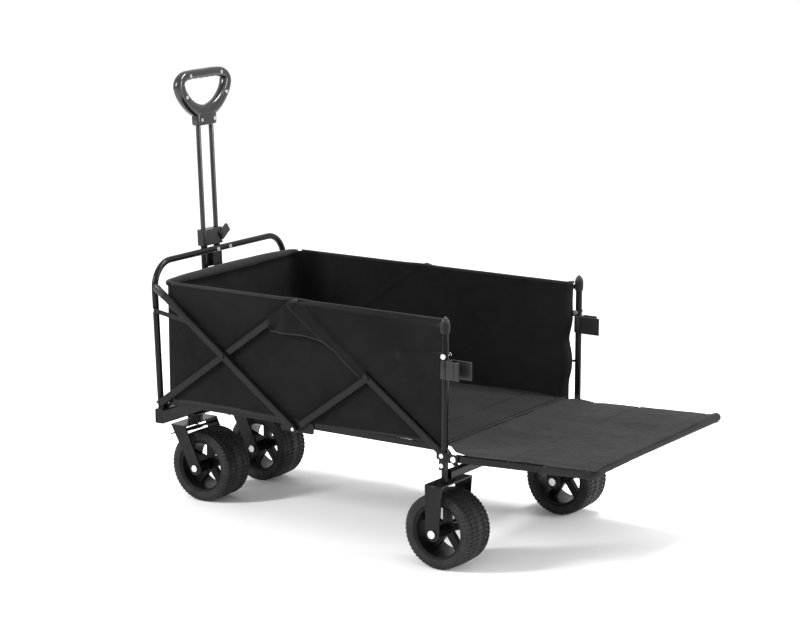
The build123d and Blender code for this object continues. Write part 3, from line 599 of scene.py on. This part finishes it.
front_low, front_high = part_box("floor_panel_front")
rear_low, rear_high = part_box("floor_panel_rear")
floor_y = wall_y - 0.0042
front_board = board(
    "floor_cloth_front", front_low.x, front_high.x, floor_y, front_low.z, front_high.z, 0.0012, 3
)
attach(front_board, "floor_front")
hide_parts("floor_panel_front")
seam_x = mid_x + 0.312
rear_board = board(
    "floor_cloth_rear", rear_low.x, seam_x - 0.0008, floor_y, rear_low.z, rear_high.z, 0.0012, 5
)
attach(rear_board, "floor_rear")
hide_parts("floor_panel_rear")
board_end = rear_high.x + 0.003  # past its panel, which closes the gap at the hinge
turn_x = rear_high.x + 0.0155  # the tailgate cloth starts here, clear of the raised board
end_board = board("floor_cloth_end", seam_x + 0.0008, board_end, floor_y, rear_low.z, rear_high.z, 0.001, 6)
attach(end_board, "floor_rear")
centre_board = board(
    "floor_cloth_centre", front_high.x + 0.001, rear_low.x - 0.001, floor_y,
    front_low.z, front_high.z, 0.0016, 9,
)
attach(centre_board, "floor_center_body")
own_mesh(centre_board)
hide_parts("floor_center")

# ---------------------------------------------------------------- tailgate cloth

gate_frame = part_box("tailgate_frame")
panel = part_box("tailgate_panel")
bar_size = 0.015
hinge_x = gate_frame[0].x + bar_size / 2
hinge_z = gate_frame[0].z + bar_size / 2
bar_out = gate_frame[1].y
bar_in = bar_out - bar_size
GATE_RISE = math.atan2(gate_frame[1].z - hinge_z - bar_size / 2, gate_frame[1].x - hinge_x)
gate_length = (panel[1].x - hinge_x) / math.cos(GATE_RISE) - 0.002
gate_start = turn_x - hinge_x
wrap_s = 0.222  # the near edge goes out over the bar from here
far_sleeve_s = 0.235  # beyond the latch clip when the tailgate is up
WAVE = 0.066  # spacing of the edge's scallops
HEM_RADIUS = 0.0106
SLEEVE_RADIUS = 0.0098
SEAM = mid_x + 0.606  # X of the seam across the tailgate
HEM_STITCH = 0.044  # distance of the hem's stitching from the end


def gate_point(s, y, n):
    """Point by its distance s from the hinge along the gate and its height n over the bars' middle."""
    tilt = GATE_RISE * smooth_step((s + 0.02) / 0.04)
    x = hinge_x + s * math.cos(tilt) - n * math.sin(tilt)
    return Vector((x, y, hinge_z + s * math.sin(tilt) + n * math.cos(tilt)))


def gate_edge(s, side):
    """|Y| of the cloth's side edge: scalloped between its ties, then out over the bar."""
    free = bar_in + 0.0105 if side < 0 else bar_in - 0.001
    narrow = smooth_step((s - gate_start) / 0.06)
    inside = floor_y + (free - floor_y) * narrow
    waves = 0.0035 * (0.5 - 0.5 * math.cos((s - 0.02) * 2 * math.pi / WAVE)) * smooth_step((s - 0.07) / 0.04)
    out = smooth_step((s - wrap_s) / 0.03)
    if side > 0:
        out = smooth_step((s - 0.015) / 0.03)
        waves = 0.4 * waves
    return inside * (1 - out) + (bar_out + 0.001) * out - waves * (1 - out if side < 0 else 1)


def gate_reach(v):
    """The cloth's end, a little shorter at the far side."""
    return gate_length - 0.013 * v


def gate_place(u, v):
    s = gate_start + (gate_reach(v) - gate_start) * u
    side = -1 if v < 0.5 else 1
    y = gate_edge(s, side) * (2 * v - 1)
    over_bar = ridge(abs(y) - (bar_in + bar_out) / 2, 0.0075, 0.012)
    over_bar *= smooth_step((s - wrap_s) / 0.03) if side < 0 else smooth_step((s - 0.015) / 0.03)
    level = rear_high.z - 0.0016 - hinge_z
    n = level + (0.0125 - level) * smooth_step((s - gate_start) / 0.09)
    n -= 0.002 * math.sin(math.pi * v) * math.sin(math.pi * u)
    n += 0.0026 * ripple(s * 0.5, y, 0.06, 11) + 0.0013 * ripple(s + y, y - s, 0.022, 12)
    n += 0.0012 * ripple(s * 3.0, y * 0.5, 0.05, 15) * ridge(abs(2 * v - 1) - 1, 0.0, 0.3)
    margin = smooth_step((abs(2 * v - 1) - 0.9) / 0.07) * smooth_step((s - 0.01) / 0.03)
    rest = bar_size / 2 + 0.0012 + 0.0006 * (1 + ripple(s, side, 0.024))
    n += (rest - n) * margin * (1 - over_bar)
    n += over_bar * (bar_size / 2 + 0.0022 - n)
    n = max(n, bar_size / 2 + 0.0012) if abs(y) > bar_in - 0.004 else n
    seam = ridge(s + hinge_x - SEAM, 0.0008, 0.003)
    hem_line = ridge(s - gate_length + HEM_STITCH, 0.0006, 0.0025)
    n -= 0.0024 * seam + 0.0016 * hem_line + 0.0022 * ridge(s - gate_start - 0.01, 0.002, 0.008)
    return gate_point(s, y, n)


gate = cloth("tailgate_cloth", 170, 140, gate_place, 0.0014, GATE_CLOTH_PAINTED_LIGHT)
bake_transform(gate)
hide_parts("tailgate_panel")

gate_hem_path = []
for i in range(101):
    v = i / 50 - 1
    y = (bar_out + 0.0005) * v
    near_droop = 0.004 * smooth_step((-v - 0.8) / 0.2) + 0.0012 * ripple(y, 9.0, 0.03)
    corner = 0.016 * max(0.0, (-v - 0.93) / 0.07) ** 2 - 0.003 * smooth_step((v - 0.9) / 0.1)
    bow = 0.0018 * ripple(y, 5.0, 0.1) + 0.003 * math.cos(math.pi * v / 2)
    gate_hem_path.append(gate_point(gate_reach(v / 2 + 0.5) - 0.0085 - corner - bow, y, 0.0045 - near_droop))
gate_hem = roll("tailgate_hem", gate_hem_path, HEM_RADIUS, GATE_CLOTH_PAINTED_LIGHT, 24, flat=1.15)
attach(gate_hem, "tailgate")
for name, side in SIDES.items():
    sleeve_start = wrap_s + 0.012 if side < 0 else far_sleeve_s
    sleeve_path, radii = [], []
    for i in range(81):
        s = sleeve_start + (gate_reach(0.5 + side / 2) - 0.014 - sleeve_start) * i / 80
        tie = 1.0 if side < 0 else 0.5 - 0.5 * math.cos((s - 0.02) * 2 * math.pi / WAVE)
        sleeve_path.append(gate_point(s, side * (bar_in + bar_out) / 2, 0.0004 * ripple(s, side, 0.02)))
        radii.append(SLEEVE_RADIUS + 0.0012 * tie + 0.0005 * ripple(s, side, 0.02, 2.0))
    sleeve = roll(f"tailgate_sleeve_{name}", sleeve_path, radii, GATE_CLOTH_PAINTED_LIGHT, 16)
    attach(sleeve, "tailgate")

piping_path = [
    (turn_x + 0.0035 + 0.0008 * ripple(y / 60, 7.0, 0.1), floor_y * y / 60, rear_high.z - 0.0006)
    for y in range(-60, 61)
]
piping = roll("hinge_piping", piping_path, 0.0026, GATE_CLOTH_PAINTED_LIGHT)
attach(piping, "rear_frame")

# ---------------------------------------------------------------- ties, caps, pins and grip


def band(name, centre, radius, height, body, material):
    """Strap sewn round an upright tube."""

    def place(u, v):
        turn = 2 * math.pi * u
        puff = 0.0004 * ripple(turn, v * 3, 0.7, centre[2] * 9)
        r = radius + puff + 0.0008 * math.sin(math.pi * v)
        z = centre[2] + height * (v - 0.5)
        return (centre[0] + r * math.cos(turn), centre[1] + r * math.sin(turn), z)

    strap = cloth(name, 40, 8, place, 0.0012, material)
    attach(strap, body)


def tongue(name, side, z, height):
    """Short strap from the wall's rear edge to the post."""

    def place(u, v):
        x = post_face - 0.012 + 0.014 * u
        y = wall_y + 0.014 + (post_y - wall_y - 0.014 - 0.003) * smooth_step(u)
        return (x, side * y, z + height * (v - 0.5) * (1 - 0.25 * math.sin(math.pi * u)))

    strap = cloth(name, 14, 8, place, 0.0016, PIPING)
    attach(strap, "rear_frame")


for name, side in SIDES.items():
    for k, z in enumerate(tie_heights):
        tongue(f"tie_{name}_{k}", side, z, 0.014 if k == 0 else 0.007)
    sleeve_centre = (post.x, side * post_y, rim_z - 0.012)
    band(f"post_sleeve_{name}", sleeve_centre, 0.0094, 0.026, "rear_frame", PIPING)
    cap_low = high("post_caps").z - 0.004
    cap_rings = [(0.0092, cap_low - 0.002), (0.0096, cap_low), (0.0088, cap_low + 0.002)]
    cap_rings += [(0.0055, cap_low + 0.007), (0.0012, cap_low + 0.0115)]
    tip = roll(
        f"post_tip_{name}", [(post.x, side * post_y, z) for _, z in cap_rings], [r for r, _ in cap_rings],
        PLASTIC, 20, up=(0, 1, 0),
    )
    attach(tip, "rear_frame")

# domed pin heads where the lower bars meet on the fold line
PIN_Z = 0.268
pin_y = abs(bar_c[0].y) + 0.0002
for name, side in SIDES.items():
    rings = [(0.0055, 0.0), (0.0055, 0.001), (0.0046, 0.0026), (0.0028, 0.0037), (0.0006, 0.0042)]
    pin_path = [(mid_x, side * (pin_y + out), PIN_Z) for _, out in rings]
    pin = roll(f"fold_pin_{name}", pin_path, [r for r, _ in rings], ZINC, 20)
    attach(pin, "floor_center_body")

# plastic caps on the upper ends of bars A: (distance along the bar, radius)
bar_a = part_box("bar_a_near")
a_tip = (bar_a[0].x + bar_half, bar_a[1].z - bar_half)
slope = Vector((a_tip[0] - foot_point[0], 0, a_tip[1] - foot_point[1])).normalized()
bar_cap = [(-0.026, 0.0098), (-0.0255, 0.0104), (-0.01, 0.0104), (0.002, 0.0101), (0.0075, 0.0085)]
bar_cap += [(0.0102, 0.004)]
for name, side in SIDES.items():
    layer = abs(bar_a[0].y) - 0.004
    cap_path, cap_radii = [], []
    for along, wide in bar_cap:
        cap_path.append((a_tip[0] + slope.x * along, side * layer, a_tip[1] + slope.z * along))
        cap_radii.append(wide)
    cap = roll(f"bar_cap_{name}", cap_path, cap_radii, PLASTIC, 28, flat=0.56)
    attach(cap, f"bar_a_{name}_body")

lean = math.radians(2.4)
grip_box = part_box("handle_grip")
grip_centre = (grip_box[0] + grip_box[1]) / 2
rise = Vector((-math.sin(lean), 0, math.cos(lean)))
forward = Vector((math.cos(lean), 0, math.sin(lean)))
sideways = Vector((0, 1, 0))
half_ring = [(0.0, 0.0585), (0.045, 0.0585), (0.076, 0.055), (0.093, 0.040), (0.088, 0.016), (0.069, -0.008)]
half_ring += [(0.045, -0.026), (0.021, -0.035)]
control = half_ring + [(0.0, -0.038)] + [(-y, t) for y, t in reversed(half_ring[1:])]


def ring_point(share):
    """Closed smooth curve through the grip's control points."""
    count = len(control)
    at = share * count
    i = int(at) % count
    f = at - int(at)
    p = [Vector(control[(i + k) % count]) for k in (-1, 0, 1, 2)]
    curve = 2 * p[1] + (p[2] - p[0]) * f + (2 * p[0] - 5 * p[1] + 4 * p[2] - p[3]) * f**2
    return (curve + (3 * p[1] - p[0] - 3 * p[2] + p[3]) * f**3) / 2


ring_steps, ring_sides = 200, 28
verts, faces = [], []
for i in range(ring_steps):
    here, ahead = ring_point(i / ring_steps), ring_point((i + 1) / ring_steps)
    along = (ahead - here).normalized()
    inward = Vector((along.y, -along.x))
    on_top = smooth_step((here.y - 0.046) / 0.008) * smooth_step((0.068 - abs(here.x)) / 0.01)
    wide = 0.0158 + 0.002 * smooth_step((0.0 - here.y) / 0.04) - 0.0035 * smooth_step((here.y - 0.03) / 0.02)
    for k in range(ring_sides):
        turn = 2 * math.pi * k / ring_sides
        a, b = math.cos(turn), math.sin(turn)
        shape = (abs(a) ** 2.6 + abs(b) ** 2.6) ** (-1 / 2.6)
        groove = 0.0016 * on_top * (0.5 + 0.5 * math.cos(2 * math.pi * here.x / 0.0235)) * max(0.0, a) ** 2
        flat = here + inward * (a * shape * (wide - groove))
        verts.append(grip_centre + sideways * flat.x + rise * flat.y + forward * (b * shape * 0.0128))
for i in range(ring_steps):
    for k in range(ring_sides):
        a, b = i * ring_sides, ((i + 1) % ring_steps) * ring_sides
        n = (k + 1) % ring_sides
        faces.append((a + k, b + k, b + n, a + n))
ring = add_mesh("grip_ring", verts, faces, GRIP)
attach(ring, "handle_upper")
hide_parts("handle_grip")

# the grip's neck over the tube ends: (height, half width)
neck_sides = 48
stations = [(-0.0705, 0.030), (-0.0702, 0.036), (-0.069, 0.0385), (-0.066, 0.0395), (-0.052, 0.040)]
stations += [(-0.044, 0.0405), (-0.036, 0.040), (-0.030, 0.036), (-0.026, 0.028)]
verts, faces = [], []
for t_up, half_width in stations:
    for k in range(neck_sides):
        turn = 2 * math.pi * k / neck_sides
        a, b = math.cos(turn), math.sin(turn)
        shape = (abs(a) ** 5 + abs(b) ** 5) ** (-1 / 5)
        deep = 0.0126 - 0.002 * max(0.0, (0.036 - half_width) / 0.01)
        corner = sideways * (a * shape * half_width)
        verts.append(grip_centre + corner + rise * t_up + forward * (b * shape * deep))
for i in range(len(stations) - 1):
    for k in range(neck_sides):
        a, b = i * neck_sides + k, i * neck_sides + (k + 1) % neck_sides
        faces.append((a, b, b + neck_sides, a + neck_sides))
faces.append(tuple(reversed(range(neck_sides))))
faces.append(tuple((len(stations) - 1) * neck_sides + k for k in range(neck_sides)))
neck = add_mesh("grip_neck", verts, faces, GRIP)
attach(neck, "handle_upper")

# ---------------------------------------------------------------- tyres


def tyre_mesh(name, node, material):
    """Block tyre: zigzag cross grooves, two zigzag running grooves, notched shoulders, ringed sidewalls."""
    lo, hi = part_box(node)
    centre = (lo + hi) / 2
    radius = (hi.z - lo.z) / 2
    half = (hi.y - lo.y) / 2
    inner = 0.0645
    tread, turns, blocks = 58, 540, 54
    flank = 7  # points of the section up to the shoulder, at each side
    section = [(inner, -half + 0.006), (inner + 0.003, -half + 0.001)]
    section += [(inner + 0.006, -half), (inner + 0.008, -half + 0.0012), (inner + 0.010, -half)]
    shoulder = [(radius - 0.010, -half), (radius - 0.0095, -half)]
    section += shoulder
    for k in range(tread + 1):
        y = -half + 0.003 + (2 * half - 0.006) * k / tread
        crown = 0.0016 * (abs(y) / half) ** 2 + 0.005 * max(0.0, (abs(y) / half - 0.9) / 0.1) ** 2
        section.append((radius - crown, y))
    section += [(r, -y) for r, y in reversed(section[:flank])]
    verts, faces = [], []
    size = len(section)
    depth = 0.0022
    for i in range(turns):
        share = i / turns
        turn = 2 * math.pi * share
        for k, (r, y) in enumerate(section):
            if flank - 1 <= k < size - flank + 1:
                zig = 0.32 * abs(((y / half * 2.5) % 2) - 1)
                phase = (share * blocks + zig) % 1.0
                edge = abs(y) / half
                cross = 1.0 if phase < 0.22 and edge > 0.12 else 0.0
                wander = 0.035 * (1 if (share * blocks) % 1.0 < 0.5 else -1)
                line = 1.0 if abs(edge - 0.36 - wander) < 0.035 or abs(edge - 0.72 - wander) < 0.03 else 0.0
                notch = 1.0 if edge > 0.9 and phase < 0.3 else 0.0
                r = r - depth * max(cross, line, notch)
            verts.append((centre.x + r * math.cos(turn), centre.y + y, centre.z + r * math.sin(turn)))
    for i in range(turns):
        a, b = i * size, ((i + 1) % turns) * size
        for k in range(size):
            n = (k + 1) % size
            faces.append((a + k, a + n, b + n, b + k))
    return add_mesh(name, verts, faces, material, smooth=False)


for name in SIDES:
    for end in ("front", "rear"):
        tyre = tyre_mesh(f"tread_{end}_{name}", f"tyre_{end}_{name}", RUBBER)
        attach(tyre, f"wheel_{end}_{name}_body")
        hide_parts(f"tyre_{end}_{name}")

# ---------------------------------------------------------------- CAD finishes

painted = [
    "front_u_frame", "front_cross_bar", "handle_bracket", "caster_mounts", "floor_frame_front",
    "floor_frame_rear", "center_brackets", "rear_posts", "rear_cross_bar", "rear_forks",
    "rear_gussets", "tailgate_frame", "handle_outer_tubes",
]
for name in SIDES:
    painted += [f"bar_{letter}_{name}" for letter in "abcd"]
    painted += [f"link_front_{name}", f"link_rear_{name}", f"caster_fork_{name}"]
for node in painted:
    finish_cad(node, FRAME)
finish_cad("handle_inner_tubes", INNER_TUBE)
for node in ("front_rivets", "rear_fasteners", "grip_screws"):
    finish_cad(node, ZINC)
for node in ("handle_clip", "latch_clips", "post_caps", "handle_collar", "lock_lever"):
    finish_cad(node, PLASTIC)
for name in SIDES:
    for node in (f"bar_b_rivets_{name}", f"bar_c_rivet_{name}"):
        finish_cad(node, FRAME)
    finish_cad(f"caster_axle_{name}", ZINC)
    finish_cad(f"brake_pedal_{name}", PLASTIC)
    for end in ("front", "rear"):
        finish_cad(f"rim_{end}_{name}", RIM, 0.0012)

# ---------------------------------------------------------------- stage, light, camera

ground = bpy.data.meshes.new("ground")
ground.from_pydata([(-90, -90, 0), (90, -90, 0), (90, 90, 0), (-90, 90, 0)], [], [(0, 1, 2, 3)])
ground_obj = bpy.data.objects.new("ground", ground)
bpy.context.scene.collection.objects.link(ground_obj)
pale = Nodes("pale_floor")
pale.link("Base Color", pale.mix(pale.span(pale.noise(2.0), 0.0, 1.0), (0.9, 0.9, 0.9), (0.92, 0.92, 0.92)))
pale.shader.inputs["Roughness"].default_value = 0.9
pale.shader.inputs["Specular IOR Level"].default_value = 0.1
ground.materials.append(pale.material)

world = bpy.data.worlds.new("studio")
bpy.context.scene.world = world
world.use_nodes = True
world.node_tree.nodes["Background"].inputs["Color"].default_value = (1.0, 1.0, 1.0, 1.0)
world.node_tree.nodes["Background"].inputs["Strength"].default_value = 1.12
bpy.context.scene.view_settings.view_transform = "Standard"


def soft_light(name, place, target, size, power):
    data = bpy.data.lights.new(name, "AREA")
    data.shape = "RECTANGLE"
    data.size, data.size_y = size
    data.energy = power
    obj = bpy.data.objects.new(name, data)
    obj.location = place
    obj.rotation_euler = (Vector(target) - Vector(place)).to_track_quat("-Z", "Y").to_euler()
    bpy.context.scene.collection.objects.link(obj)


soft_light("key", (-2.2, -3.2, 2.4), (0, 0, 0.4), (0.45, 1.4), 150)
soft_light("top", (0.7, 0.5, 3.2), (0.1, 0, 0.3), (1.2, 0.5), 120)
soft_light("rim", (3.4, 1.2, 1.5), (0, 0, 0.5), (0.8, 1.8), 90)

view = bpy.data.cameras.new("camera")
view.lens = 114.9
view.sensor_width = 36.0
view.clip_end = 400.0
camera = bpy.data.objects.new("camera", view)
camera.location = (3.3187, -5.0392, 1.7622)
aim = Vector((-0.1001, 0.0668, 0.4910)) - camera.location
camera.rotation_euler = aim.to_track_quat("-Z", "Y").to_euler()
bpy.context.scene.collection.objects.link(camera)
bpy.context.scene.camera = camera
